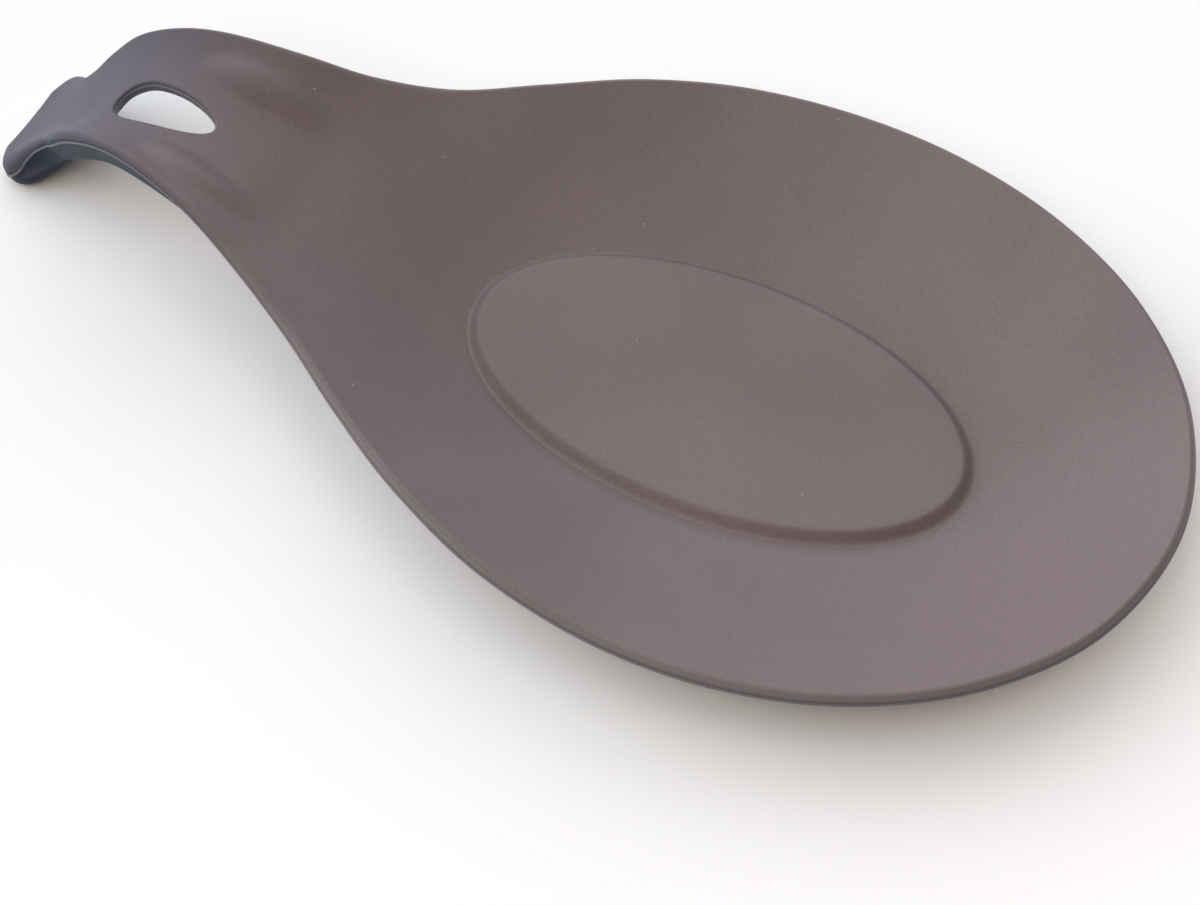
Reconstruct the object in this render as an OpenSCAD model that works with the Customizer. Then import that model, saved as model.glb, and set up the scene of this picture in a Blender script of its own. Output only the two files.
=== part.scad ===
// Spoon rest, moulded in one piece from soft silicone rubber.
//
// The object is one sheet of rubber. A shallow bowl runs into a rising channel, the
// channel crests beside a hanging hole, and the end turns down into a hook whose tip
// is the second foot. The bowl stands on the flat face under its raised oval plateau.
//
// Frame: +Z up, the table is the plane z = 0, the origin is the middle of the flat
// face under the plateau, +X runs to the front of the bowl and -X to the hook.

/* [Overall size] */

// Length from the tip of the hook to the front of the bowl
length = 241.4; // [200:0.1:280]

// Width across the bowl, outside of the rim
bowl_w = 126.4; // [110:0.1:145]

// Height of the top of the handle's crest above the table
crest_h = 32.3; // [28:0.1:38]

// Height of the top of the bowl's rim above the table
rim_h = 17.9; // [15:0.1:21]

/* [Sheet] */

// Thickness of the floor round the foot of the plateau
floor_t = 2.5; // [2:0.1:3.5]

// Thickness of the sheet at the rim of the bowl
rim_t = 3.2; // [3:0.1:4]

// Thickness of the handle along its middle, at the hanging hole
handle_t = 2.6; // [2.4:0.1:4]

// Thickness of the side wall where the handle turns down
hook_t = 7; // [5:0.1:8]

// Radius of the rounding along the top edge of the rim
edge_r = 1.6; // [1:0.1:1.8]

/* [Channel] */

// Depth of the channel below the rim, at the ridges
channel_d = 7; // [4:0.1:8]

/* [Plateau] */

// Length of the raised oval at its foot
plateau_l = 101.4; // [80:0.1:110]

// Width of the raised oval at its foot
plateau_w = 55; // [40:0.1:64]

// Height of the raised oval above the floor
plateau_h = 2.1; // [1:0.1:3]

// Width of the soft bevel round the oval
bevel_w = 2.8; // [1.5:0.1:4]

/* [Hanging hole] */

// Length of the hole
hole_l = 22.2; // [14:0.1:26]

// Width of the hole
hole_w = 10; // [6:0.1:12]

/* [Ridges] */

// Length of each leaf-shaped ridge beside the channel
ridge_l = 27; // [20:0.1:34]

// Width of each ridge
ridge_w = 8.4; // [5:0.1:10]

// Height of each ridge above the channel
ridge_h = 2; // [0.5:0.1:2.5]

// Distance between the middles of the two ridges
ridge_gap = 23.8; // [20:0.1:26]

/* [Hidden] */

// Rim line from the front of the bowl to the tip of the hook. Each row gives the
// place along the length, the height as shares of the rim and of the crest, and the
// half width of the sheet inside its rounded edge as a share of the width.
line_shares = [
    [ 0.355, 1.005, 0, 0],
    [ 0.331, 1.005, 0, 0.186],
    [ 0.273, 1, 0, 0.326],
    [ 0.195, 0.983, 0, 0.422],
    [ 0.107, 0.98, 0, 0.475],
    [ 0.017, 1, 0, 0.487],
    [-0.075, 1.055, 0, 0.461],
    [-0.157, 1.105, 0, 0.402],
    [-0.228, 1.105, 0, 0.326],
    [-0.29, 1.15, 0, 0.251],
    [-0.348, 0, 0.755, 0.196],
    [-0.402, 0, 0.916, 0.158],
    [-0.455, 0, 0.997, 0.133],
    [-0.497, 0, 0.969, 0.118],
    [-0.537, 0, 0.83, 0.1063],
    [-0.5655, 0, 0.63, 0.0932],
    [-0.5835, 0, 0.475, 0.0685],
    [-0.5994, 0, 0.354, 0.0696],
    [-0.6127, 0, 0.2656, 0.0783],
    [-0.6237, 0, 0.2034, 0.0858],
    [-0.6315, 0, 0.1675, 0.0613],
];

// Rows of the table at the joint of bowl and handle, and at the crest
neck_row = 9;
crest_row = 12;

// Depth of the handle's channel along the unrolled length, in shares of channel_d
channel_shares = [
    [-0.696, 0.03],
    [-0.672, 0.03],
    [-0.652, 0.05],
    [-0.632, 0.09],
    [-0.609, 0.2],
    [-0.585, 0.4],
    [-0.562, 0.56],
    [-0.539, 0.67],
    [-0.516, 0.77],
    [-0.493, 0.84],
    [-0.468, 0.88],
    [-0.443, 0.9],
    [-0.41, 0.96],
    [-0.373, 1.1],
    [-0.331, 1.34],
    [-0.29, 1.57],
    [-0.249, 1.71],
];

// Side wall of the handle along the unrolled length, in shares of the step from the
// rim's thickness to the hook's
wall_shares = [
    [-0.696, 1.13],
    [-0.655, 1.12],
    [-0.6, 0.84],
    [-0.555, 0.98],
    [-0.539, 1],
    [-0.489, 0.79],
    [-0.455, 0.63],
    [-0.427, 0.37],
    [-0.406, 0.11],
    [-0.352, 0],
    [1, 0],
];

// Rounding of the edge along the unrolled length, in shares of the step from the
// radius along the rim to the full round of the foot
full_shares = [
    [-0.696, 1],
    [-0.672, 1],
    [-0.658, 0.72],
    [-0.644, 0.2],
    [-0.631, 0],
    [1, 0],
];

// Middle of the handle along the unrolled length, in shares of the steps from the
// floor's thickness to the handle's and on to the hook's
middle_shares = [
    [-0.696, 1, 1],
    [-0.621, 1, 1],
    [-0.547, 1, 0],
    [-0.373, 1, 0],
    [-0.249, 0, 0],
    [1, 0, 0],
];

// Where the bowl's form gives way to the channel's
blend_shares = [-0.415, -0.257];

// Distances of the rings of the bowl between plateau and rim, and of the bevel
ring_shares = [0, 0.08, 0.18, 0.3, 0.43, 0.57, 0.71, 0.85, 1];
bevel_shares = [1, 0.8, 0.5, 0.2];
bevel_rise_shares = [1, 0.9, 0.5, 0.1];

// Swell of the bowl's slope: its straight share, and how the two distances weigh
straight_share = 0.75;
weigh_share = 2;

// Places and proportions of the hole and the ridges
hole_x_share = -0.5;
hole_back_share = 0.31;
ridge_x_share = -0.419;
ridge_turn_share = 0.1;

// The rounding under the rim is a little smaller than the one on top, and the full
// round at the foot leaves a narrow flat between the two
under_share = 0.88;
foot_round_share = 0.47;

// Fineness of the surface
span_steps = 4;
across_steps = 20;
round_steps = 4;
hole_steps = 60;

half_l = plateau_l / 2;
half_w = plateau_w / 2;
rim_half = bowl_w / 2 - edge_r;
tiny = edge_r / 1000000;
last_row = len(line_shares) - 1;
K = neck_row * span_steps;
C = crest_row * span_steps;
L = last_row * span_steps;
M = across_steps;
Q = 2 * K + M;
R = len(ring_shares) - 1;
V = len(bevel_shares);
H = (L - K) * (M + 1);
B = 2 * L + M;

// Control points in millimetres: x, height of the rim line, half width
rows = [
    for (r = line_shares)
        [r[0] * length, r[1] * rim_h + r[2] * crest_h, r[3] * bowl_w]
];

function row(i) =
    i < 0 ? [rows[1][0], rows[1][1], -rows[1][2]]
    : i > last_row ? 2 * rows[last_row] - rows[last_row - 1]
    : rows[i];

// Curve through four neighbours, at the share t between the middle two
function through(a, b, c, d, t) =
    (2 * b + (c - a) * t + (2 * a - 5 * b + 4 * c - d) * t * t
    + (3 * b - a - 3 * c + d) * t * t * t) / 2;

line = [
    for (i = [0 : L])
        let (n = min(floor(i / span_steps), last_row - 1), t = i / span_steps - n)
            through(row(n - 1), row(n), row(n + 1), row(n + 2), t)
];

// Length along the unrolled sheet, and the sheet's tilt past the crest
function run(i) =
    i <= C ? line[i][0]
    : run(i - 1) - norm([line[i][0] - line[i - 1][0], line[i][1] - line[i - 1][1]]);
s_of = [for (i = [0 : L]) run(i)];

function lean(i) =
    let (a = line[max(i - 1, 0)], b = line[min(i + 1, L)])
        i <= C ? 0 : max(0, atan2(a[1] - b[1], a[0] - b[0]));
tilt_of = [for (i = [0 : L]) lean(i)];

square_table = [for (i = [L : -1 : 0]) [s_of[i], line[i][2] * line[i][2]]];
height_table = [for (i = [L : -1 : 0]) [s_of[i], line[i][1]]];
channel_table = [for (c = channel_shares) [c[0] * length, c[1] * channel_d]];
wall_table = [for (c = wall_shares) [c[0] * length, rim_t + c[1] * (hook_t - rim_t)]];
full_table = [for (c = full_shares) [c[0] * length, c[1]]];
middle_table = [
    for (c = middle_shares)
        [c[0] * length, floor_t + c[1] * (handle_t - floor_t) + c[2] * (hook_t - handle_t)]
];

function soft(t) = let (c = min(max(t, 0), 1)) c * c * (3 - 2 * c);

// Share of the way from the foot of the plateau to the rim
function way(s, y) =
    let (
        g = max(norm([s / half_l, y / half_w]) - 1, 0),
        e = min(max((lookup(s, square_table) - y * y) / (rim_half * rim_half), 0), 1),
        f = 1 - sqrt(1 - e)
    )
        g / (g + weigh_share * f + tiny);

function across(s, y) = min(abs(y) / sqrt(max(lookup(s, square_table), tiny)), 1);

function channelled(s) =
    soft((blend_shares[1] * length - s) / ((blend_shares[1] - blend_shares[0]) * length));

// Depth of the top surface below the rim line
function depth(s, y) =
    let (
        w = way(s, y),
        k = channelled(s),
        drop = lookup(max(s, line[C][0]), height_table) - floor_t,
        bowl = drop * (1 - straight_share * w - (1 - straight_share) * w * w),
        u = across(s, y),
        trough = lookup(s, channel_table) * (1 - u * u)
    )
        bowl * (1 - k) + trough * k;

function thick(s, y) =
    let (
        k = channelled(s),
        b = pow(way(s, y), 4) * (1 - k) + pow(across(s, y), 4) * k,
        inner = lookup(s, middle_table)
    )
        inner + (lookup(s, wall_table) - inner) * b;

// Leaf-shaped ridge that stands along each side of the channel
function ridge(s, y) =
    let (
        d = s - ridge_x_share * length,
        e = abs(y) - ridge_gap / 2 - ridge_turn_share * d,
        q = pow(2 * d / ridge_l, 2) + pow(2 * e / ridge_w, 2)
    )
        q < 1 ? ridge_h * pow(1 - q, 1.5) : 0;

function on_table(p) = [p[0], p[1], max(p[2], 0)];

// Radius of the rounding at the unrolled place s, from the one along the bowl's rim
function rounded(s, r) =
    let (k = lookup(s, full_table))
        r * (1 - k) + foot_round_share * lookup(s, wall_table) * k;

// Point of the sheet at station i, lateral place y and distance d below the rim line
function bent(i, y, d) =
    [line[i][0] + sin(tilt_of[i]) * d, y, line[i][1] - cos(tilt_of[i]) * d];

function flat_top(p) =
    [p[0], p[1], lookup(p[0], height_table) - depth(p[0], p[1]) + ridge(p[0], p[1])];

function flat_under(p) =
    [p[0], p[1], max(lookup(p[0], height_table) - depth(p[0], p[1]) - thick(p[0], p[1]), 0)];

// Outline of the bowl and the joint with the handle, counter-clockwise from the front
function v_of(j) = 1 - 2 * j / M;
bowl_loop = [
    for (q = [0 : Q - 1])
        q <= K ? [line[q][0], line[q][2]]
        : q < K + M ? [line[K][0], line[K][2] * v_of(q - K)]
        : [line[Q - q][0], -line[Q - q][2]]
];

// Foot of the plateau in the direction of each point of that outline
function oval(p, inset) =
    let (t = atan2(p[1] / half_w, p[0] / half_l))
        [(half_l - inset) * cos(t), (half_w - inset) * sin(t)];

top_pole = [[0, 0, floor_t + plateau_h]];
top_bevel = [
    for (b = [0 : V - 1]) for (p = bowl_loop)
        let (e = oval(p, bevel_w * bevel_shares[b]))
            [e[0], e[1], floor_t + plateau_h * bevel_rise_shares[b]]
];
top_bowl = [
    for (r = ring_shares) for (p = bowl_loop)
        flat_top(oval(p, 0) * (1 - r) + p * r)
];
top_handle = [
    for (i = [K + 1 : L]) for (j = [0 : M])
        let (y = line[i][2] * v_of(j))
            bent(i, y, depth(s_of[i], y) - ridge(s_of[i], y))
];
under_pole = [[0, 0, 0]];
under_bowl = [
    for (r = ring_shares) for (p = bowl_loop)
        flat_under(oval(p, 0) * (1 - r) + p * r)
];
under_handle = [
    for (i = [K + 1 : L]) for (j = [0 : M])
        let (y = line[i][2] * v_of(j))
            on_table(bent(i, y, depth(s_of[i], y) + thick(s_of[i], y)))
];

// Whole edge of the sheet: station and side, counter-clockwise from the front
edge_loop = [
    for (n = [0 : B - 1])
        n <= L ? [n, 1]
        : n < L + M ? [L, v_of(n - L)]
        : [B - n, -1]
];
edge_plan = [for (e = edge_loop) [s_of[e[0]], line[e[0]][2] * e[1]]];

// Profile round the edge: rounded on top, a straight wall, rounded below
function edge_point(n, out, down) =
    let (
        i = edge_loop[n][0],
        t = edge_plan[(n + 1) % B] - edge_plan[(n + B - 1) % B],
        o = [t[1], -t[0]] / norm(t),
        p = bent(i, edge_plan[n][1], depth(s_of[i], edge_plan[n][1]) + down)
    )
        on_table(p + out * [o[0] * cos(tilt_of[i]), o[1], o[0] * sin(tilt_of[i])]);

round_angles = [for (k = [1 : round_steps]) 90 * k / round_steps];
edge_profile = [
    for (a = round_angles) for (n = [0 : B - 1])
        let (r = rounded(edge_plan[n][0], edge_r))
            edge_point(n, r * sin(a), r * (1 - cos(a))),
    for (k = [round_steps : -1 : 1]) for (n = [0 : B - 1])
        let (
            a = round_angles[k - 1],
            s = edge_plan[n][0],
            r = rounded(s, under_share * edge_r)
        )
            edge_point(n, rounded(s, edge_r) * sin(a), lookup(s, wall_table) - r * (1 - cos(a)))
];

// Places of the groups of points in the whole list
at_bevel = 1;
at_top = at_bevel + V * Q;
at_top_handle = at_top + (R + 1) * Q;
at_under_pole = at_top_handle + H;
at_under = at_under_pole + 1;
at_under_handle = at_under + (R + 1) * Q;
at_edge = at_under_handle + H;

function bowl_at(base, r, q) = base + r * Q + q % Q;
function handle_at(bowl, handle, i, j) =
    i == K ? bowl_at(bowl, R, K + j) : handle + (i - K - 1) * (M + 1) + j;
function edge_at(bowl, handle, n) =
    let (m = n % B)
        m <= K ? bowl_at(bowl, R, m)
        : m <= L ? handle_at(bowl, handle, m, 0)
        : m < L + M ? handle_at(bowl, handle, L, m - L)
        : B - m > K ? handle_at(bowl, handle, B - m, M)
        : bowl_at(bowl, R, Q - (B - m));
function ring_at(k, n) =
    k == 0 ? edge_at(at_top, at_top_handle, n)
    : k == 2 * round_steps + 1 ? edge_at(at_under, at_under_handle, n)
    : at_edge + (k - 1) * B + n % B;

function split(a, b, c, d) = [[a, b, c], [a, c, d]];

sheet_faces = [
    for (q = [0 : Q - 1]) [0, at_bevel + (q + 1) % Q, at_bevel + q],
    for (r = [0 : V - 1]) for (q = [0 : Q - 1]) for (f = split(
        bowl_at(at_bevel, r, q), bowl_at(at_bevel, r, q + 1),
        bowl_at(at_bevel, r + 1, q + 1), bowl_at(at_bevel, r + 1, q))) f,
    for (r = [0 : R - 1]) for (q = [0 : Q - 1]) for (f = split(
        bowl_at(at_top, r, q), bowl_at(at_top, r, q + 1),
        bowl_at(at_top, r + 1, q + 1), bowl_at(at_top, r + 1, q))) f,
    for (i = [K : L - 1]) for (j = [0 : M - 1]) for (f = split(
        handle_at(at_top, at_top_handle, i, j), handle_at(at_top, at_top_handle, i, j + 1),
        handle_at(at_top, at_top_handle, i + 1, j + 1), handle_at(at_top, at_top_handle, i + 1, j))) f,
    for (q = [0 : Q - 1]) [at_under_pole, at_under + q, at_under + (q + 1) % Q],
    for (r = [0 : R - 1]) for (q = [0 : Q - 1]) for (f = split(
        bowl_at(at_under, r, q), bowl_at(at_under, r + 1, q),
        bowl_at(at_under, r + 1, q + 1), bowl_at(at_under, r, q + 1))) f,
    for (i = [K : L - 1]) for (j = [0 : M - 1]) for (f = split(
        handle_at(at_under, at_under_handle, i, j), handle_at(at_under, at_under_handle, i + 1, j),
        handle_at(at_under, at_under_handle, i + 1, j + 1), handle_at(at_under, at_under_handle, i, j + 1))) f,
    for (k = [0 : 2 * round_steps]) for (n = [0 : B - 1]) for (f = split(
        ring_at(k, n), ring_at(k, n + 1), ring_at(k + 1, n + 1), ring_at(k + 1, n))) f
];

// The moulded sheet before the hole is made
module sheet() {
    polyhedron(
        points = concat(top_pole, top_bevel, top_bowl, top_handle,
            under_pole, under_bowl, under_handle, edge_profile),
        faces = sheet_faces);
}

// Egg-shaped hole, straight down through the crest, blunt end to the hook
module hanging_hole() {
    back = hole_l * hole_back_share * 2;
    translate([hole_x_share * length, 0, crest_h / 2])
        linear_extrude(height = crest_h)
            polygon([
                for (k = [0 : hole_steps - 1])
                    let (a = 360 * k / hole_steps, c = cos(a))
                        [(c > 0 ? hole_l - back / 2 : back / 2) * c, hole_w / 2 * sin(a)]
            ]);
}

module silicone_body() {
    color([0.44, 0.40, 0.39])
        difference() {
            sheet();
            hanging_hole();
        }
}

silicone_body();
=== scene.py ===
# %% [markdown]
# # A spoon rest moulded in one piece
#
# The real object is a single sheet of soft silicone rubber. A shallow bowl holds the
# spoon, a channel rises out of it to a hanging hole, and the end turns down into a hook
# that is the second foot. Nothing is assembled, so the whole lesson is about one surface:
# how to describe it, how to give it an edge and a hole, and how to make it look like
# matte rubber. The imported CAD part is loaded first. It fixes the frame and the size, and
# its box is kept, so that the sheet's half width can be held inside it.

import bmesh
import bpy
import numpy as np
from mathutils import Matrix, Vector


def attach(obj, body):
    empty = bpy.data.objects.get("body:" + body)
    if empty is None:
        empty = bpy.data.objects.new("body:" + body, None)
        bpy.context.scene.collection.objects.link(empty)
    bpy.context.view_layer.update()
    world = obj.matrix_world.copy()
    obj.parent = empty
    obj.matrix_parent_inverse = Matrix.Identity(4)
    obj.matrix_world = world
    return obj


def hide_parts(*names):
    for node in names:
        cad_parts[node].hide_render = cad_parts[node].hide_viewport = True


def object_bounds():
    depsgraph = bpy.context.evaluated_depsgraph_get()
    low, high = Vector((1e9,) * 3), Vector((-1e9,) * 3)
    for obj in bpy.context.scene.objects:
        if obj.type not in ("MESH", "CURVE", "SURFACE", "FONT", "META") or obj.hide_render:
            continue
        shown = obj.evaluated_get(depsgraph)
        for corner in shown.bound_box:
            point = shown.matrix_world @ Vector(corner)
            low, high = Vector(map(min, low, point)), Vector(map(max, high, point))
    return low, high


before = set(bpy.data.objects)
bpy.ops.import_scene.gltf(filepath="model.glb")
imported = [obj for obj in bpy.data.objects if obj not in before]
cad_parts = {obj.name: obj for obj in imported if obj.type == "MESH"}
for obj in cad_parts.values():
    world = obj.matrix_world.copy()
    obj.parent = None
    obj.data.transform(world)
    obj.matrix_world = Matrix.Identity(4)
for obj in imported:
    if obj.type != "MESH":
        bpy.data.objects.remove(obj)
cad_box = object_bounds()
mm = 0.001
print("CAD box in mm:", [[round(c / mm, 2) for c in corner] for corner in cad_box])

# %% [markdown]
# ## The camera
#
# The camera could be placed by eye, but the outline of the object in the photograph is
# clear enough to solve for it: the rim's oval, the hook and the level table fix where
# the lens was. The result is a place, a turn round the object, a height angle, a slight
# roll and a focal length, and nothing is shifted or cropped.

# %% Camera from the photograph's solved view
turn = np.radians(25.58)
height_angle = np.radians(58.52)
roll = np.radians(0.148)
camera_place = Vector((67.06, -190.38, 308.93)) * mm

back = Vector((
    np.sin(turn) * np.cos(height_angle),
    -np.cos(turn) * np.cos(height_angle),
    np.sin(height_angle),
))
right = Vector((np.cos(turn), np.sin(turn), 0))
up = back.cross(right)
rolled_right = right * np.cos(roll) - up * np.sin(roll)
rolled_up = right * np.sin(roll) + up * np.cos(roll)

lens = bpy.data.cameras.new("camera")
lens.sensor_width = 36
lens.lens = 58.42
lens.clip_start = 10 * mm
camera = bpy.data.objects.new("camera", lens)
camera_axes = Matrix((rolled_right, rolled_up, back)).transposed().to_4x4()
camera.matrix_world = Matrix.Translation(camera_place) @ camera_axes
bpy.context.scene.collection.objects.link(camera)
bpy.context.scene.camera = camera
print("camera distance in mm:", round(camera_place.length / mm))

# %% [markdown]
# ## Sizes and profile tables
#
# The sizes are those of the CAD part. The free curves can't be given by one number
# each, so they are short tables: the rim line seen from the side and from above, the
# depth of the channel, and the thickness of the sheet, each as shares of a named size.
# Reading such a table with straight lines between its rows would leave a crease in the
# shading at each row, so the rim line is a smooth curve through its rows, and the other
# tables are read with a cubic that never overshoots.

# %% Named sizes
length = 241.4 * mm
bowl_width = 126.4 * mm
crest_height = 32.3 * mm
rim_height = 17.9 * mm
floor_thickness = 2.5 * mm
rim_thickness = 3.2 * mm
handle_thickness = 2.6 * mm
hook_thickness = 7 * mm
edge_radius = 1.6 * mm
channel_depth = 7 * mm
print("length over width:", round(length / bowl_width, 3))

# %% Rim line: place along the length, shares of rim and crest height, half width
rim_shares = np.array([
    [0.355, 1.005, 0, 0],
    [0.331, 1.005, 0, 0.186],
    [0.273, 1, 0, 0.326],
    [0.195, 0.983, 0, 0.422],
    [0.107, 0.98, 0, 0.475],
    [0.017, 1, 0, 0.487],
    [-0.075, 1.055, 0, 0.461],
    [-0.157, 1.105, 0, 0.402],
    [-0.228, 1.105, 0, 0.326],
    [-0.29, 1.15, 0, 0.251],
    [-0.348, 0, 0.755, 0.196],
    [-0.402, 0, 0.916, 0.158],
    [-0.455, 0, 0.997, 0.133],
    [-0.497, 0, 0.969, 0.118],
    [-0.537, 0, 0.83, 0.1063],
    [-0.5655, 0, 0.63, 0.0932],
    [-0.5835, 0, 0.475, 0.0685],
    [-0.5994, 0, 0.354, 0.0696],
    [-0.6127, 0, 0.2656, 0.0783],
    [-0.6237, 0, 0.2034, 0.0858],
    [-0.6315, 0, 0.1675, 0.0613],
])
neck_row = 9
crest_row = 12
tip_row = len(rim_shares) - 1
rim_rows = np.stack([
    rim_shares[:, 0] * length,
    rim_shares[:, 1] * rim_height + rim_shares[:, 2] * crest_height,
    rim_shares[:, 3] * bowl_width,
], axis=1)
print("rows of the rim line:", len(rim_rows))

# %% Other tables, by place along the unrolled sheet
channel_table = np.array([
    [-0.696, 0.03], [-0.672, 0.03], [-0.652, 0.05], [-0.632, 0.09], [-0.609, 0.2],
    [-0.585, 0.4], [-0.562, 0.56], [-0.539, 0.67], [-0.516, 0.77], [-0.493, 0.84],
    [-0.468, 0.88], [-0.443, 0.9], [-0.41, 0.96], [-0.373, 1.1], [-0.331, 1.34],
    [-0.29, 1.57], [-0.249, 1.71],
]) * [length, channel_depth]
wall_table = np.array([
    [-0.696, 1.13], [-0.655, 1.12], [-0.6, 0.84], [-0.555, 0.98], [-0.539, 1],
    [-0.489, 0.79], [-0.455, 0.63], [-0.427, 0.37], [-0.406, 0.11], [-0.352, 0],
    [1, 0],
]) * [length, hook_thickness - rim_thickness] + [0, rim_thickness]
full_round_table = np.array([
    [-0.696, 1], [-0.672, 1], [-0.658, 0.72], [-0.644, 0.2], [-0.631, 0], [1, 0],
]) * [length, 1]
middle_table = np.array([
    [-0.696, hook_thickness], [-0.621, hook_thickness], [-0.547, handle_thickness],
    [-0.373, handle_thickness], [-0.249, floor_thickness], [1, floor_thickness],
]) * [length, 1]


def read_table(places, table):
    """Value of a table at each place: the cubic between the two rows around it. Its slope at
    a row is the harmonic mean of the slopes on the row's two sides, or level where these
    differ in sign, so the curve is smooth and never leaves the span of its rows."""
    at, value = table.T
    run = np.diff(at)
    rise = np.diff(value) / run
    before, after = rise[:-1], rise[1:]
    same_way = before * after > 0
    mean = np.where(same_way, 2 * before * after / np.where(same_way, before + after, 1), 0)
    slope = np.concatenate([rise[:1], mean, rise[-1:]])
    places = np.clip(places, at[0], at[-1])
    row = np.clip(np.searchsorted(at, places) - 1, 0, len(run) - 1)
    t = (places - at[row]) / run[row]
    return (
        value[row] * (1 + 2 * t) * (1 - t) ** 2
        + value[row + 1] * (3 - 2 * t) * t ** 2
        + slope[row] * run[row] * t * (1 - t) ** 2
        - slope[row + 1] * run[row] * (1 - t) * t ** 2
    )


print("wall at the hook in mm:", round(float(read_table(-0.6 * length, wall_table)) / mm, 2))

# %% [markdown]
# ## The rim line
#
# Everything hangs from one line: the top of the rim, which runs from the front of the
# bowl, up over the crest and down the hook. It is a Catmull-Rom curve, which passes
# through its rows, so each row can be read off the object. Past the crest the sheet
# bends down, and from there a place is counted along the curve instead of along the
# table, as if the hook were unrolled. Each point then knows its unrolled place, its
# height, its half width and how far the sheet leans there. At the hook's waist the half
# width changes fast within a few rows, which would show as a kink in the edge, so there
# it is averaged over its surroundings, most at the waist and fading out to both sides.
# The half width is also kept a hair inside the CAD box.


# %% Smooth curve through the rows
def curve_through(rows, steps):
    """Catmull-Rom curve: between two rows it is the cubic that passes each of them in the
    direction that joins its neighbours. The row before the first is the second one
    mirrored to the other side, and past the last the line goes straight on."""
    line = np.vstack([rows[1] * [1, 1, -1], rows, 2 * rows[-1] - rows[-2]])
    a, b, c, d = (line[k:len(line) - 3 + k, None] for k in range(4))
    t = np.linspace(0, 1, steps, endpoint=False)[None, :, None]
    cubic = 2 * b + (c - a) * t + (2 * a - 5 * b + 4 * c - d) * t ** 2 + (3 * b - a - 3 * c + d) * t ** 3
    return np.vstack([cubic.reshape(-1, 3) / 2, rows[-1:]])


steps_a_span = 64
waist_row = 16.3
waist_reach = 2.6
soft_rows = 3
line_x, line_z, line_half = curve_through(rim_rows, steps_a_span).T
crest_at = crest_row * steps_a_span
soft_window = np.hanning(soft_rows * steps_a_span)
softened = np.convolve(line_half, soft_window / soft_window.sum(), mode="same")
from_waist = np.clip((np.arange(len(line_half)) / steps_a_span - waist_row) / waist_reach, -1, 1)
line_half += (softened - line_half) * np.cos(from_waist * np.pi / 2) ** 2
line_half = np.minimum(line_half, cad_box[1][1] - edge_radius)
line_s = line_x.copy()
line_s[crest_at + 1:] = line_x[crest_at] - np.cumsum(np.hypot(np.diff(line_x), np.diff(line_z))[crest_at:])
line_lean = np.arctan2(-np.gradient(line_z), -np.gradient(line_x))
line_lean[:crest_at + 1] = 0
line_lean = np.maximum(line_lean, 0)
print("steepest lean of the hook in degrees:", round(float(np.degrees(line_lean.max())), 1))


# %% Read the line at any unrolled place
def along(values):
    """A reader of those values of the line at any unrolled place s, straight between its
    many points."""
    return lambda s: np.interp(s, line_s[::-1], values[::-1])


x_at, z_at, lean_at, half_squared_at = map(along, (line_x, line_z, line_lean, line_half ** 2))


def on_sheet(s, y, down):
    """Point at the unrolled place s and the lateral place y that lies down below the rim
    line, measured square to the leaning sheet."""
    lean = lean_at(s)
    return np.stack([x_at(s) + np.sin(lean) * down, y + 0 * s, z_at(s) - np.cos(lean) * down], axis=-1)


print("unrolled length in mm:", round(float(line_s[0] - line_s[-1]) / mm, 1))

# %% [markdown]
# ## How deep the sheet lies
#
# The top surface is the rim line lowered by a depth. In the bowl the depth depends on
# the share of the way from the foot of the pad to the rim, so that contours change
# smoothly from the pad's oval to the bowl's outline. In the handle it is a trough whose
# section is a parabola. The two are blended over the neck. Two leaf-shaped ridges stand
# beside the trough, and the underside follows the top at the thickness of the sheet.

# %% Depth of the bowl and of the channel
pad_half_length = 101.4 * mm / 2
pad_half_width = 55 * mm / 2
rim_half = bowl_width / 2 - edge_radius
straight_share = 0.75
rim_weight = 2
blend_start, blend_end = -0.257 * length, -0.415 * length


def ease(t):
    """Cubic step from 0 to 1 that starts and ends level."""
    t = np.clip(t, 0, 1)
    return t * t * (3 - 2 * t)


def way_to_rim(s, y):
    """Share of the way from the pad's foot, 0, to the rim, 1: how far outside the oval the
    place is, against that plus how far inside the rim it is."""
    outside = np.maximum(np.hypot(s / pad_half_length, y / pad_half_width) - 1, 0)
    room = np.clip((half_squared_at(s) - y ** 2) / rim_half ** 2, 0, 1)
    return outside / (outside + rim_weight * (1 - np.sqrt(1 - room)) + 1e-9)


def way_across(s, y):
    """Share of the way from the middle of the handle, 0, to its edge, 1."""
    return np.clip(np.abs(y) / np.sqrt(np.maximum(half_squared_at(s), 1e-12)), 0, 1)


def channelled(s):
    """0 in the bowl, 1 in the handle, and a soft step over the neck."""
    return ease((blend_start - s) / (blend_start - blend_end))


def depth(s, y):
    """Depth of the top below the rim line. Bowl: the drop to the floor, less a mostly
    straight and slightly squared share of the way to the rim. Handle: a parabola across."""
    way = way_to_rim(s, y)
    drop = z_at(np.maximum(s, line_x[crest_at])) - floor_thickness
    bowl = drop * (1 - straight_share * way - (1 - straight_share) * way ** 2)
    trough = read_table(s, channel_table) * (1 - way_across(s, y) ** 2)
    return bowl + (trough - bowl) * channelled(s)


print("depth in front of the pad in mm:", round(float(depth(np.array(60 * mm), np.array(0.0))) / mm, 2))

# %% Thickness of the sheet, and the two ridges
ridge_length = 27 * mm
ridge_width = 8.4 * mm
ridge_height = 2 * mm
ridge_gap = 23.8 * mm
ridge_middle = -0.419 * length
ridge_turn = 0.1


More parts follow.
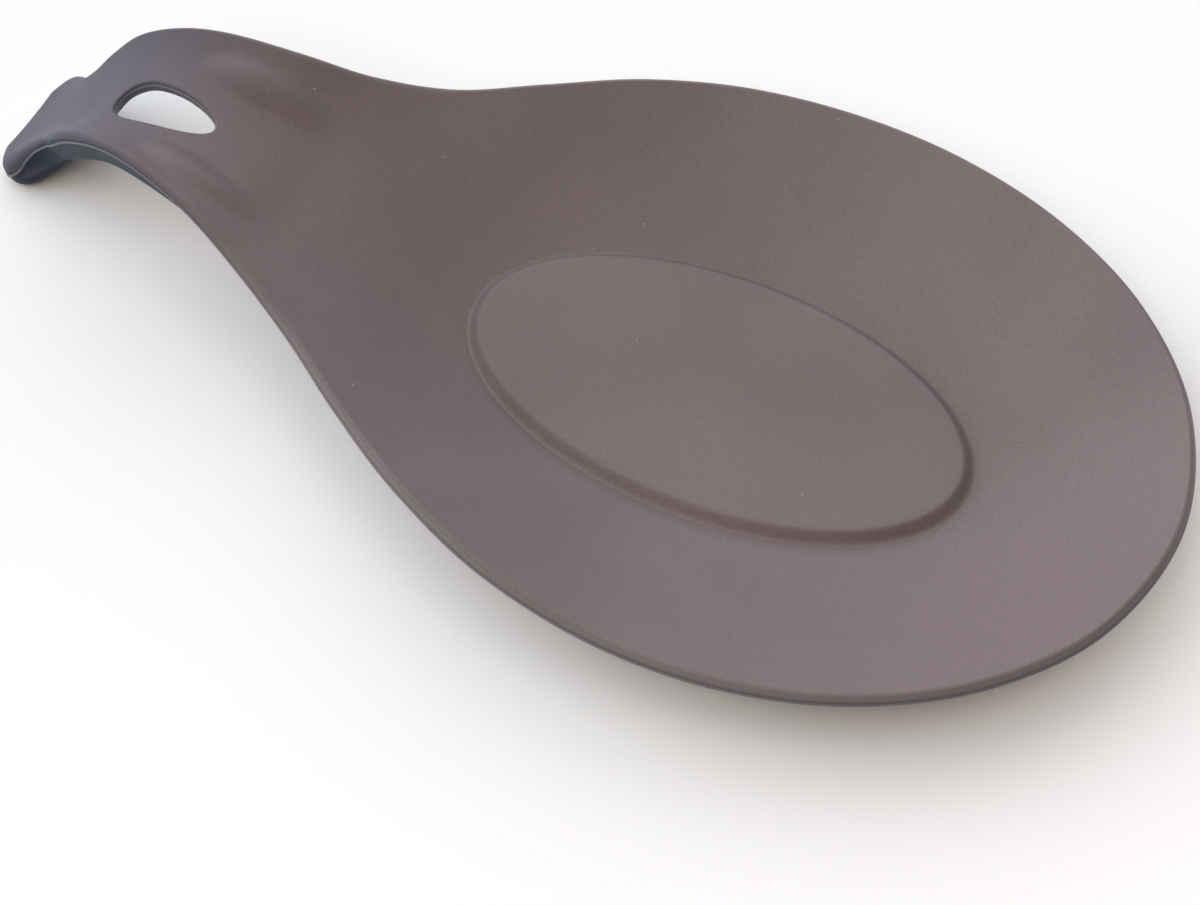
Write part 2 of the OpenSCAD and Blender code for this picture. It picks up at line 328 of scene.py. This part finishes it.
def thickness(s, y):
    """Thickness square to the sheet: the middle's, growing to the side wall's with the
    fourth power of the way out."""
    blend = channelled(s)
    out = way_to_rim(s, y) ** 4 * (1 - blend) + way_across(s, y) ** 4 * blend
    middle = read_table(s, middle_table)
    return middle + (read_table(s, wall_table) - middle) * out


def ridge(s, y):
    """Height of the ridge on either side: a leaf-shaped hump, one less the squared distance
    from its middle line, to the power one and a half, so that its foot runs out level."""
    forward = s - ridge_middle
    beside = np.abs(y) - ridge_gap / 2 - ridge_turn * forward
    inside = 1 - (2 * forward / ridge_length) ** 2 - (2 * beside / ridge_width) ** 2
    return ridge_height * np.maximum(inside, 0) ** 1.5


def top_down(s, y):
    """How far the top lies below the rim line."""
    return depth(s, y) - ridge(s, y)


def under_down(s, y):
    """How far the underside lies below the rim line."""
    return depth(s, y) + thickness(s, y)


def top(s, y):
    """Point of the top surface."""
    return on_sheet(s, y, top_down(s, y))


def under(s, y):
    """Point of the underside, which never goes below the table."""
    points = on_sheet(s, y, under_down(s, y))
    points[..., 2] = np.maximum(points[..., 2], 0)
    return points


print("top of a ridge in mm:", round(float(top(np.array(ridge_middle), np.array(ridge_gap / 2))[2]) / mm, 2))

# %% [markdown]
# ## Where the rows of faces go
#
# One grid over the whole sheet would be pinched at the front and could not go round the
# hole, so the sheet is divided as a tailor cuts cloth: rings round the pad out to the
# bowl's rim, a plain grid over the neck, rings round the hole, and a plain grid down
# the hook. Patches that meet share the very same points, so they can be welded without
# a seam, all but the edge and the underside at the hook's tip, as is said at the welding
# below. The stations along the rim are spread evenly by their distance on the plan.


# %% Stations along the rim
def stations(row_a, row_b, count):
    """Unrolled places and half widths at count + 1 stations between two rows of the line,
    evenly spread by the distance along the outline."""
    travelled = np.concatenate([[0], np.cumsum(np.hypot(np.diff(line_s), np.diff(line_half)))])
    ends = np.interp([row_a * steps_a_span, row_b * steps_a_span], np.arange(len(line_s)), travelled)
    at = np.linspace(*ends, count + 1)
    return np.interp(at, travelled, line_s), np.interp(at, travelled, line_half)


hole_front_row, hole_back_row = 11.2, 14.4
bowl_steps, neck_steps, hole_steps, hook_steps, cross_steps = 150, 34, 44, 56, 60
bowl_s, bowl_half = stations(0, neck_row, bowl_steps)
neck_s, neck_half = stations(neck_row, hole_front_row, neck_steps)
hole_s, hole_half = stations(hole_front_row, hole_back_row, hole_steps)
hook_s, hook_half = stations(hole_back_row, tip_row, hook_steps)
across = np.linspace(1, -1, cross_steps + 1)
print("stations along one side:", len(bowl_s) + len(neck_s) + len(hole_s) + len(hook_s) - 3)


# %% Outlines of the patches, as places on the unrolled sheet
def pairs(s, y):
    """Places s and y side by side in one array."""
    return np.stack(np.broadcast_arrays(s, y), axis=-1)


def closed_outline(s, half):
    """Outline that runs down the left side, across at the last station and back up the
    right side, without repeating a corner."""
    left, right = pairs(s, half), pairs(s, -half)
    return np.vstack([left, pairs(s[-1], half[-1] * across[1:-1]), right[::-1]])


bowl_outline = closed_outline(bowl_s, bowl_half)[:-1]
hole_outline = np.vstack([closed_outline(hole_s, hole_half), pairs(hole_s[0], -hole_half[0] * across[1:-1])])
neck_places = pairs(neck_s[:, None], neck_half[:, None] * across)
hook_places = pairs(hook_s[:, None], hook_half[:, None] * across)
print("points round the bowl and round the hole:", len(bowl_outline), len(hole_outline))

# %% [markdown]
# ## Pad and bowl
#
# The oval pad stands a little proud of the bowl's floor with a soft bevel round it. Both
# are rings: from the middle of the pad out to its edge, down the bevel, and along rays
# to the rim. Rings lie closer together at the foot of the pad and at the rim, where the
# surface turns fastest.

# %% Rings of the pad, its bevel and the bowl
pad_height = 2.1 * mm
bevel_width = 2.8 * mm
bevel_steps, bowl_rings, under_rings = 14, 48, 20
pad_shares = (0, 0.3, 0.6, 0.85, 0.97)
direction = np.arctan2(bowl_outline[:, 1] / pad_half_width, bowl_outline[:, 0] / pad_half_length)


def oval(inset):
    """Outline of the pad's foot, brought in by inset, in the direction of each point of the
    bowl's outline."""
    x = (pad_half_length - inset) * np.cos(direction)
    y = (pad_half_width - inset) * np.sin(direction)
    return np.stack([x, y], axis=-1)


def spread(count):
    """Shares from 0 to 1 that lie closer together at both ends."""
    return (1 - np.cos(np.linspace(0, np.pi, count + 1))) / 2


def ringed(inner, outer, shares):
    """Rings of places between two outlines, at those shares of the way."""
    return inner + (outer - inner) * shares[:, None, None]


def closed(rows):
    """Rows of points with the first one repeated at the end, so that each row is a loop."""
    return np.concatenate([rows, rows[:, :1]], axis=1)


def at_height(places, height):
    """Points over those places, all at one height above the table."""
    return np.concatenate([places, np.full((len(places), 1), height)], axis=1)


down_bevel = np.linspace(0, 1, bevel_steps + 1)
pad_rings = [at_height(oval(bevel_width) * share, floor_thickness + pad_height) for share in pad_shares]
bevel_rings = [
    at_height(oval(bevel_width * (1 - way)), floor_thickness + pad_height * (1 - ease(way)))
    for way in down_bevel
]
bowl_places = ringed(oval(0), bowl_outline, spread(bowl_rings))
pad_patch = closed(np.array(pad_rings + bevel_rings))
bowl_patch = closed(top(bowl_places[..., 0], bowl_places[..., 1]))
under_places = ringed(oval(0), bowl_outline, spread(under_rings))
under_patch = closed(under(under_places[..., 0], under_places[..., 1]))
base_patch = closed(np.array([under_patch[0, :-1] * share for share in (0, 0.5, 1)]))
print("height of the pad in mm:", round(float(pad_patch[..., 2].max()) / mm, 2))

# %% [markdown]
# ## The hanging hole
#
# The hole is an egg, blunt towards the hook, punched straight down through the crest. A
# boolean would leave long thin faces round it and a razor edge. Here the surface is
# built round the hole instead: rings run from the patch's outline in to the egg, roll
# over the lip with a quarter circle and go down the wall, past the hair of rubber that
# the parting of the mould left a little below the lip. The hole is straight but the
# sheet leans, so for each point of the egg the unrolled place under it has to be found,
# which a few steps of correcting by the miss do for all of them at once.

# %% The egg, and the sheet's points over it
hole_middle = -0.5 * length
hole_back_reach = 6.9 * mm
hole_front_reach = 15.3 * mm
hole_half_width = 5 * mm
corrections = 14


def egg(grow, angle):
    """Places x and y of the hole's outline made larger all round by grow: two half ellipses
    that share their width."""
    reach = np.where(np.cos(angle) > 0, hole_front_reach, hole_back_reach) + grow
    return hole_middle + reach * np.cos(angle), (hole_half_width + grow) * np.sin(angle)


def place_over(x, y, down):
    """Unrolled place of the surface point that lies at x: starts at x, and moves by the miss
    until the point is there."""
    s = x.copy()
    for _ in range(corrections):
        s = s + x - on_sheet(s, y, down(s, y))[..., 0]
    return s


front_span = hole_s[0] - hole_middle
back_span = hole_middle - hole_s[-1]
hole_angle = np.arctan2(
    hole_outline[:, 1] / np.sqrt(half_squared_at(hole_outline[:, 0])),
    (hole_outline[:, 0] - hole_middle) / np.where(hole_outline[:, 0] > hole_middle, front_span, back_span),
)


def lip_ring(grow, sink, down):
    """Ring of the hole's lip: the egg made larger by grow, sunk below that surface."""
    x, y = egg(grow, hole_angle)
    s = place_over(x, y, down)
    return on_sheet(s, y, down(s, y)) - [0, 0, sink]


print("points of the egg:", len(hole_angle))

# %% Rings from the patch's outline to the lip and down the wall
lip_radius = 0.6 * mm
lower_lip_radius = 0.4 * mm
lip_steps, rings_to_lip = 8, 22
quarter = np.radians(np.linspace(0, 90, lip_steps + 1))


def hole_rings(down, radius):
    """Places of the rings between the patch's outline and the egg grown by radius."""
    x, y = egg(radius, hole_angle)
    return ringed(hole_outline, pairs(place_over(x, y, down), y), spread(rings_to_lip))


top_hole_places = hole_rings(top_down, lip_radius)
top_hole_patch = closed(top(top_hole_places[..., 0], top_hole_places[..., 1]))
under_hole_places = hole_rings(under_down, lower_lip_radius)
under_hole_patch = closed(under(under_hole_places[..., 0], under_hole_places[..., 1]))
flash_below_lip = 1.1 * mm
flash_reach = 0.15 * mm
lip = [
    lip_ring(lip_radius * (1 - np.sin(a)), lip_radius * (1 - np.cos(a)), top_down)
    for a in quarter
]
lower_lip = [
    lip_ring(lower_lip_radius * (1 - np.sin(a)), -lower_lip_radius * (1 - np.cos(a)), under_down)
    for a in quarter[::-1]
]
flash_rings = [
    lip_ring(-reach, flash_below_lip + off, top_down)
    for reach, off in (
        (0, -flash_reach), (flash_reach, -flash_reach / 2),
        (flash_reach, flash_reach / 2), (0, flash_reach),
    )
]
wall_parting = slice(len(lip) - 1, len(lip) + len(flash_rings))
wall_patch = closed(np.array(lip + flash_rings + lower_lip))
print("wall of the hole in mm:", round(float((lip[-1] - lower_lip[0])[:, 2].min()) / mm, 2))

# %% [markdown]
# ## The edge
#
# All round the sheet runs a moulded edge: rounded on top, a short straight wall, and
# rounded below. Where the two halves of the mould met, a hair of rubber stands proud
# just under the top rounding, and a painted highlight on it, a paler colour, shows it as
# a fine pale line. The edge is a profile carried along the outline, square to it. At the
# two corners of the hook's tip the outline turns sharply, so there the profile is turned
# in small steps round the corner point. Towards the tip the rounding grows until the
# foot is fully round.

# %% Outline of the whole sheet, with its outward directions
corner_steps = 8


def unit(v):
    """Vectors brought to length one."""
    return v / np.linalg.norm(v, axis=-1, keepdims=True)


side_s = np.concatenate([bowl_s, neck_s[1:], hole_s[1:], hook_s[1:]])
side_half = np.concatenate([bowl_half, neck_half[1:], hole_half[1:], hook_half[1:]])
side = pairs(side_s, side_half)
travel = np.gradient(side, axis=0)
travel[0] = [0, 1]
side_out = unit(np.stack([travel[:, 1], -travel[:, 0]], axis=-1))
corner_turn = np.linspace(np.arctan2(side_out[-1, 1], side_out[-1, 0]), np.pi, corner_steps + 1)[1:]
corner_out = np.stack([np.cos(corner_turn), np.sin(corner_turn)], axis=-1)
tip_places = pairs(side_s[-1], side_half[-1] * across[1:-1])
half_outline = np.vstack([side, np.repeat(side[-1:], corner_steps, axis=0)])
half_out = np.vstack([side_out, corner_out])
edge_outline = np.vstack([half_outline, tip_places, half_outline[::-1] * [1, -1]])
edge_out = np.vstack([half_out, np.tile([-1.0, 0.0], (len(tip_places), 1)), half_out[::-1] * [1, -1]])
print("points round the edge:", len(edge_outline))

# %% Profile of the edge
under_share = 0.88
foot_round_share = 0.47
wall_inset = 0.25 * mm
flash_half_height = 0.15 * mm
upper_steps, lower_steps, last_upper_turn = 11, 8, 88


def rounding(s, radius):
    """Radius of the edge's rounding: the given one along the rim, growing to nearly half of
    the wall at the foot."""
    full = read_table(s, full_round_table)
    return radius * (1 - full) + foot_round_share * read_table(s, wall_table) * full


edge_s, edge_y = edge_outline.T
radius = rounding(edge_s, edge_radius)
lower_radius = rounding(edge_s, under_share * edge_radius)
wall = read_table(edge_s, wall_table)
flush = radius - wall_inset
upper_turns = np.radians(np.linspace(0, last_upper_turn, upper_steps + 1))
lower_turns = np.radians(np.linspace(90, 0, lower_steps + 1))
profile = [(flush * np.sin(a), radius * (1 - np.cos(a))) for a in upper_turns]
edge_parting = slice(len(profile), len(profile) + 3)
profile += [
    (flush, radius),
    (radius, radius + flash_half_height),
    (radius, radius + 2 * flash_half_height),
    (flush, radius + 3 * flash_half_height),
]
profile += [(flush * np.sin(a), wall - lower_radius * (1 - np.cos(a))) for a in lower_turns]


def edge_row(out, below):
    """Row of points at the distances out from the outline and below its top, square to the
    leaning sheet."""
    points = on_sheet(edge_s, edge_y, depth(edge_s, edge_y) + below)
    lean = lean_at(edge_s)
    forward = edge_out[:, 0]
    leaning_out = np.stack([forward * np.cos(lean), edge_out[:, 1], forward * np.sin(lean)], axis=-1)
    points += out[:, None] * leaning_out
    points[:, 2] = np.maximum(points[:, 2], 0)
    return points


edge_patch = closed(np.array([edge_row(out, below) for out, below in profile]))
print("edge box in mm:", (edge_patch.min((0, 1)) / mm).round(2), (edge_patch.max((0, 1)) / mm).round(2))

# %% [markdown]
# ## Weld the patches into one piece
#
# Each patch is a grid of points, and neighbouring points of a grid make its faces. The
# points on shared outlines were computed from the same numbers, so merging points that
# coincide joins the patches and closes the middle of the pad. What comes out should be a
# closed solid with its faces outward: the volume is printed, and edges that don't have
# exactly two faces are counted.
#
# One seam is open, and the count says so: 120 edges, all across the sole of the hook's
# tip. There the edge ends below the rim line by the side wall's thickness and the
# underside by the sheet's own, so on the table their points differ by up to 0.25 mm.
#
# The faces of the parting line, on the edge and in the hole, are marked for a paler
# material, whose colour is a painted highlight.


# %% Grids to one mesh
weld_distance = 0.001 * mm


def grid_faces(rows, columns, first):
    """Corner numbers of the faces of a grid whose points are numbered row by row."""
    corner = first + (np.arange(rows - 1)[:, None] * columns + np.arange(columns - 1)).ravel()
    return np.stack([corner, corner + 1, corner + columns + 1, corner + columns], axis=1)


def welded(name, patches):
    """Mesh object made of patches of points, merged where they coincide. Each patch comes
    with the rows of its faces that are parting line; these get the second material, whose
    paler colour is a painted highlight."""
    points, faces, marks, first = [], [], [], 0
    for patch, parting_rows in patches:
        rows, columns = patch.shape[:2]
        mark = np.zeros((rows - 1, columns - 1), np.int32)
        mark[parting_rows] = 1
        marks.append(mark.ravel())
        points.append(patch.reshape(-1, 3))
        faces.append(grid_faces(rows, columns, first))
        first += rows * columns
    mesh = bpy.data.meshes.new(name)
    mesh.from_pydata(np.vstack(points).tolist(), [], np.vstack(faces).tolist())
    mesh.polygons.foreach_set("material_index", np.concatenate(marks))
    shell = bmesh.new()
    shell.from_mesh(mesh)
    bmesh.ops.remove_doubles(shell, verts=shell.verts, dist=weld_distance)
    bmesh.ops.recalc_face_normals(shell, faces=shell.faces)
    open_edges = sum(not e.is_manifold for e in shell.edges)
    triangles = sum(len(f.verts) - 2 for f in shell.faces)
    volume = round(shell.calc_volume(signed=True) / mm ** 3)
    print(name, "volume in mm3:", volume, "open edges:", open_edges, "triangles:", triangles)
    shell.to_mesh(mesh)
    shell.free()
    mesh.polygons.foreach_set("use_smooth", np.ones(len(mesh.polygons), bool))
    piece = bpy.data.objects.new(name, mesh)
    bpy.context.scene.collection.objects.link(piece)
    return piece


neck_s_y = neck_places[..., 0], neck_places[..., 1]
hook_s_y = hook_places[..., 0], hook_places[..., 1]
plain = slice(0, 0)
spoon_rest = welded("spoon_rest", [
    (pad_patch, plain), (bowl_patch, plain), (base_patch, plain), (under_patch, plain),
    (top(*neck_s_y), plain), (under(*neck_s_y), plain),
    (top_hole_patch, plain), (under_hole_patch, plain), (wall_patch, wall_parting),
    (top(*hook_s_y), plain), (under(*hook_s_y), plain), (edge_patch, edge_parting),
])
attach(spoon_rest, "root")
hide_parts("silicone_body")

# %% [markdown]
# ## Shader maths as plain expressions
#
# Materials are made of nodes, but most of what they do is arithmetic. A small class
# wraps an output socket so that sums and products of masks can be written as Python
# expressions, each of which adds its Math node. Every other node comes from one method
# that takes the node's type, its settings and its inputs.


# %% A socket that can be calculated with
class Value:
    """An output socket of a node tree. Arithmetic on it adds Math nodes."""

    def __init__(self, tree, socket):
        self.tree, self.socket = tree, socket

    def math(self, operation, a, b=0.0, c=0.0):
        return node(self.tree, "ShaderNodeMath", {"operation": operation}, {0: a, 1: b, 2: c})

    def __add__(self, other):
        return self.math("ADD", self, other)

    def __sub__(self, other):
        return self.math("SUBTRACT", self, other)

    def __mul__(self, other):
        return self.math("MULTIPLY", self, other)

    def __rsub__(self, other):
        return self.math("SUBTRACT", other, self)

    __radd__, __rmul__ = __add__, __mul__

    def step(self, low, high):
        """0 below low, 1 above high, and a smooth step between."""
        settings = {"interpolation_type": "SMOOTHSTEP"}
        inputs = {"Value": self, "From Min": low, "From Max": high}
        return node(self.tree, "ShaderNodeMapRange", settings, inputs)


def node(tree, kind, settings=None, inputs=None, output=0):
    """Adds a node, applies its settings, fills or links its inputs, and returns one output
    as a Value."""
    made = tree.nodes.new(kind)
    for name, setting in (settings or {}).items():
        setattr(made, name, setting)
    for name, value in (inputs or {}).items():
        if isinstance(value, Value):
            tree.links.new(value.socket, made.inputs[name])
        else:
            made.inputs[name].default_value = value
    return Value(tree, made.outputs[output]) if len(made.outputs) else made


def new_material(name):
    """An empty material, with its node tree."""
    material = bpy.data.materials.new(name)
    material.use_nodes = True
    material.node_tree.nodes.clear()
    return material, material.node_tree


print("shader helper ready")

# %% [markdown]
# ## The silicone
#
# Moulded silicone of this kind is matte with a soft sheen, and its mould was lightly
# etched, which leaves a fine even grain. Pigment is mixed in by hand, so the taupe is a
# touch uneven over some centimetres. Towards the hook the colour is a painted shade,
# cooler and darker, for the cool light that falls there. The side walls of the handle
# carry painted navy shade, the shade and blue bounce of the surface that the object
# stood on, and the rounded edge of the bowl carries a painted highlight that makes it a
# little lighter than the sheet. A few bright specks are dust, which such rubber always
# attracts. The mould's ejector pin left a faint ring on the pad, and the parting line is
# paler, a painted highlight where its hair of rubber catches the light. All of this reads
# Object coordinates, which are the real ones in metres, so each grain has its real size.

# %% Colours and sizes of the finish
taupe = (0.142, 0.110, 0.114, 1)
taupe_light = (0.203, 0.157, 0.161, 1)
# painted cool shade towards the hook
hook_cool_shade = (0.104, 0.092, 0.120, 1)
# painted navy shade for the handle's side walls
wall_shade = (0.008, 0.030, 0.055, 1)
# painted highlight on the bowl's rounded rim
rim_highlight_colour = (0.330, 0.275, 0.245, 1)
# painted highlight for the parting line
pale_flash_highlight = (0.225, 0.208, 0.212, 1)
dust = (0.62, 0.60, 0.58, 1)
clouds_a_metre, grains_a_metre, specks_a_metre = 22.0, 2200.0, 130.0
noise_detail, cloud_roughness, grain_roughness = 2.0, 0.5, 0.6
cloud_share, cloud_edges = 0.45, (0.3, 0.7)
grain_share, grain_edges = 0.45, (0.35, 0.65)
# share of the painted navy wall shade, and the upright normals over which it comes in
wall_shade_share, upright_edges = 0.9, (0.02, 0.3)
# share and normal edges of the painted rim highlight
rim_highlight_share, highlight_low_edges, highlight_high_edges = 0.4, (0.1, 0.4), (0.6, 0.86)
speck_edges = 0.01, 0.02
# where the painted cool shade towards the hook begins, and where it is full
cool_shade_from, cool_shade_to = -95 * mm, -130 * mm
# where the handle begins, which bounds the painted wall shade and the painted rim highlight
handle_from, handle_to = -70 * mm, -110 * mm
# heights over which the painted rim highlight comes in
rim_from, rim_to = 8 * mm, 12 * mm
pin_place = Vector((24.2, 8.0, 4.6)) * mm
pin_ring_radius = 2.3 * mm
pin_ring_edges = 0.05 * mm, 0.35 * mm
pin_ring_depth = 0.04 * mm
grain_height = 0.03 * mm
matte, matte_grain, shine = 0.5, 0.12, 0.4
print("size of a grain in mm:", round(1 / grains_a_metre / mm, 2))


# %% Two helpers for colours and places
def blend(share, a, b):
    """Colour a where the share is 0, colour b where it is 1."""
    return node(share.tree, "ShaderNodeMix", {"data_type": "RGBA"}, {0: share, 6: a, 7: b}, output=2)


def axis_of(vector, axis):
    """One axis of a vector."""
    return node(vector.tree, "ShaderNodeSeparateXYZ", {}, {"Vector": vector}, output=axis)


print("colour helpers ready")

# %% Masks: where the sheet is uneven or dusty, and where shade and highlight are painted
material, tree = new_material("matte_silicone")
place = node(tree, "ShaderNodeTexCoord", output="Object")
clouds = node(tree, "ShaderNodeTexNoise", {}, {
    "Vector": place, "Scale": clouds_a_metre, "Detail": noise_detail, "Roughness": cloud_roughness,
})
grain = node(tree, "ShaderNodeTexNoise", {}, {
    "Vector": place, "Scale": grains_a_metre, "Detail": noise_detail, "Roughness": grain_roughness,
})
uneven = clouds.step(*cloud_edges) * cloud_share + grain.step(*grain_edges) * grain_share

along = axis_of(place, "X")
facing_up = axis_of(node(tree, "ShaderNodeTexCoord", output="Normal"), "Z")
# painted cool shade, full towards the hook
cool_shade_towards_hook = 1 - along.step(cool_shade_to, cool_shade_from)
on_handle = 1 - along.step(handle_to, handle_from)
# painted navy shade on the handle's upright and downward-facing walls
side_wall_shade = on_handle * (1 - facing_up.step(*upright_edges))
# painted highlight on the bowl's rounded rim, off the handle
rounded = facing_up.step(*highlight_low_edges) * (1 - facing_up.step(*highlight_high_edges))
rim_highlight_mask = (1 - on_handle) * axis_of(place, "Z").step(rim_from, rim_to) * rounded

speck_inputs = {"Vector": place, "Scale": specks_a_metre}
speck_distance = node(tree, "ShaderNodeTexVoronoi", {}, speck_inputs, output="Distance")
speck = 1 - speck_distance.step(*speck_edges)
pin_distance = {"operation": "DISTANCE"}
from_pin = node(tree, "ShaderNodeVectorMath", pin_distance, {0: place, 1: pin_place}, output="Value")
from_ring = from_pin - pin_ring_radius
ring = 1 - from_ring.math("ABSOLUTE", from_ring).step(*pin_ring_edges)
print("nodes in the masks:", len(tree.nodes))

# %% Silicone, and the parting line's painted highlight
colour = blend(uneven, taupe, taupe_light)
# painted cool shade towards the hook
colour = blend(cool_shade_towards_hook, colour, hook_cool_shade)
# painted navy shade on the handle's side walls
colour = blend(side_wall_shade * wall_shade_share, colour, wall_shade)
# painted highlight on the bowl's rounded rim
colour = blend(rim_highlight_mask * rim_highlight_share, colour, rim_highlight_colour)
colour = blend(speck, colour, dust)
relief = grain * grain_height - ring * pin_ring_depth
skin = node(tree, "ShaderNodeBsdfPrincipled", {}, {
    "Base Color": colour,
    "Roughness": matte + grain * matte_grain,
    "Specular IOR Level": shine,
    "Normal": node(tree, "ShaderNodeBump", {}, {"Strength": 1.0, "Distance": 1.0, "Height": relief}),
})
node(tree, "ShaderNodeOutputMaterial", {}, {"Surface": skin})
spoon_rest.data.materials.append(material)
print("nodes in the silicone:", len(tree.nodes))

# the parting line's paler colour is a painted highlight
material, tree = new_material("parting_line_highlight")
skin = node(tree, "ShaderNodeBsdfPrincipled", {}, {"Base Color": pale_flash_highlight, "Roughness": matte})
node(tree, "ShaderNodeOutputMaterial", {}, {"Surface": skin})
spoon_rest.data.materials.append(material)
print("materials of the piece:", [m.name for m in spoon_rest.data.materials])

# %% [markdown]
# ## Table and light
#
# The object is shown on plain white, but the parts of its sides that look down are
# navy: it stood on a blue surface, which was cleared to white afterwards. So the table
# is white to the camera and to reflections, and keeps the object's shadow, while the
# light that it throws back up at the rubber is blue. The studio is dark but for two soft
# broad lights far off, the stronger one to the left and the other one behind, and three
# small square lamps near the object: a neutral one in front, a warm one lower down on
# the near side, and a weak blue one at the near left. So the sides that face the table
# stay dark, the hook is cool, and the bowl is warm towards the near side. The silicone's
# colour adds painted shade on the handle's side walls and towards the hook, and a
# painted highlight on the bowl's rim.

# %% Table
table_white = (0.98, 0.98, 0.98, 1)
table_bounce = (0.05, 0.19, 0.38, 1)
table_reach = 3.0

material, tree = new_material("white_table")
diffuse_ray = node(tree, "ShaderNodeLightPath", output="Is Diffuse Ray")
white = node(tree, "ShaderNodeBsdfDiffuse", {}, {"Color": table_white})
blue = node(tree, "ShaderNodeBsdfDiffuse", {}, {"Color": table_bounce})
seen = node(tree, "ShaderNodeMixShader", {}, {0: diffuse_ray, 1: white, 2: blue})
node(tree, "ShaderNodeOutputMaterial", {}, {"Surface": seen})

corners = np.array([(-1, -1, 0), (1, -1, 0), (1, 1, 0), (-1, 1, 0)]) * table_reach
table_mesh = bpy.data.meshes.new("table")
table_mesh.from_pydata(corners.tolist(), [], [(0, 1, 2, 3)])
table = bpy.data.objects.new("table", table_mesh)
table.data.materials.append(material)
bpy.context.scene.collection.objects.link(table)
print("table is", 2 * table_reach, "m wide")

# %% Dome of light, brighter to the left and to the far side
left_place, left_colour = (-1, -0.1, 0.6), (2.3, 2.37, 2.43)
far_place, far_colour = (-0.1, 1, 0.6), (1.58, 1.55, 1.62)
lobe_sharpness = 4

world = bpy.data.worlds.new("studio")
bpy.context.scene.world = world
world.use_nodes = True
tree = world.node_tree
tree.nodes.clear()
sky_direction = node(tree, "ShaderNodeTexCoord", output="Generated")


def vector_math(operation, inputs, output=0):
    """One Vector Math node of the dome."""
    return node(tree, "ShaderNodeVectorMath", {"operation": operation}, inputs, output)


def lobe(towards, colour):
    """Light that falls off from one direction: the cosine of the angle to it, to a power."""
    facing = vector_math("DOT_PRODUCT", {0: sky_direction, 1: Vector(towards).normalized()}, "Value")
    fall = facing.math("POWER", facing.math("MAXIMUM", facing), lobe_sharpness)
    return vector_math("SCALE", {0: colour, "Scale": fall})


glow = vector_math("ADD", {0: lobe(left_place, left_colour), 1: lobe(far_place, far_colour)})
camera_ray = node(tree, "ShaderNodeLightPath", output="Is Camera Ray")
dome = node(tree, "ShaderNodeBackground", {}, {"Color": glow, "Strength": 1.0})
backdrop = node(tree, "ShaderNodeBackground", {}, {"Color": (1, 1, 1, 1), "Strength": 1.0})
shown = node(tree, "ShaderNodeMixShader", {}, {0: camera_ray, 1: dome, 2: backdrop})
node(tree, "ShaderNodeOutputWorld", {}, {"Surface": shown})
print("nodes in the dome:", len(tree.nodes))

# %% Three small soft lamps near the object
lamp_size = 0.6


def soft_lamp(name, azimuth, distance, height, power, colour):
    """Square lamp in the direction of the azimuth, in degrees from +X, at that distance and
    height, facing the object."""
    lamp = bpy.data.lights.new(name, "AREA")
    lamp.shape, lamp.size, lamp.energy, lamp.color = "SQUARE", lamp_size, power, colour
    holder = bpy.data.objects.new(name, lamp)
    round_object = np.radians(azimuth)
    aim = Vector((distance * np.cos(round_object), distance * np.sin(round_object), height))
    holder.matrix_world = Matrix.Translation(aim) @ aim.to_track_quat("Z", "Y").to_matrix().to_4x4()
    bpy.context.scene.collection.objects.link(holder)


soft_lamp("front_lamp", azimuth=0, distance=0.5, height=1.2, power=2.05, colour=(1.0, 0.96, 0.88))
soft_lamp("near_lamp", azimuth=-85, distance=0.7, height=1.0, power=4.0, colour=(1.0, 0.81, 0.63))
soft_lamp("near_left_lamp", azimuth=-135, distance=0.5, height=1.2, power=1.4, colour=(0.5, 0.72, 1.0))

# %% [markdown]
# ## The view transform
#
# The view transform is set to Standard, so that a colour renders about as it is
# written.

bpy.context.scene.view_settings.view_transform = "Standard"
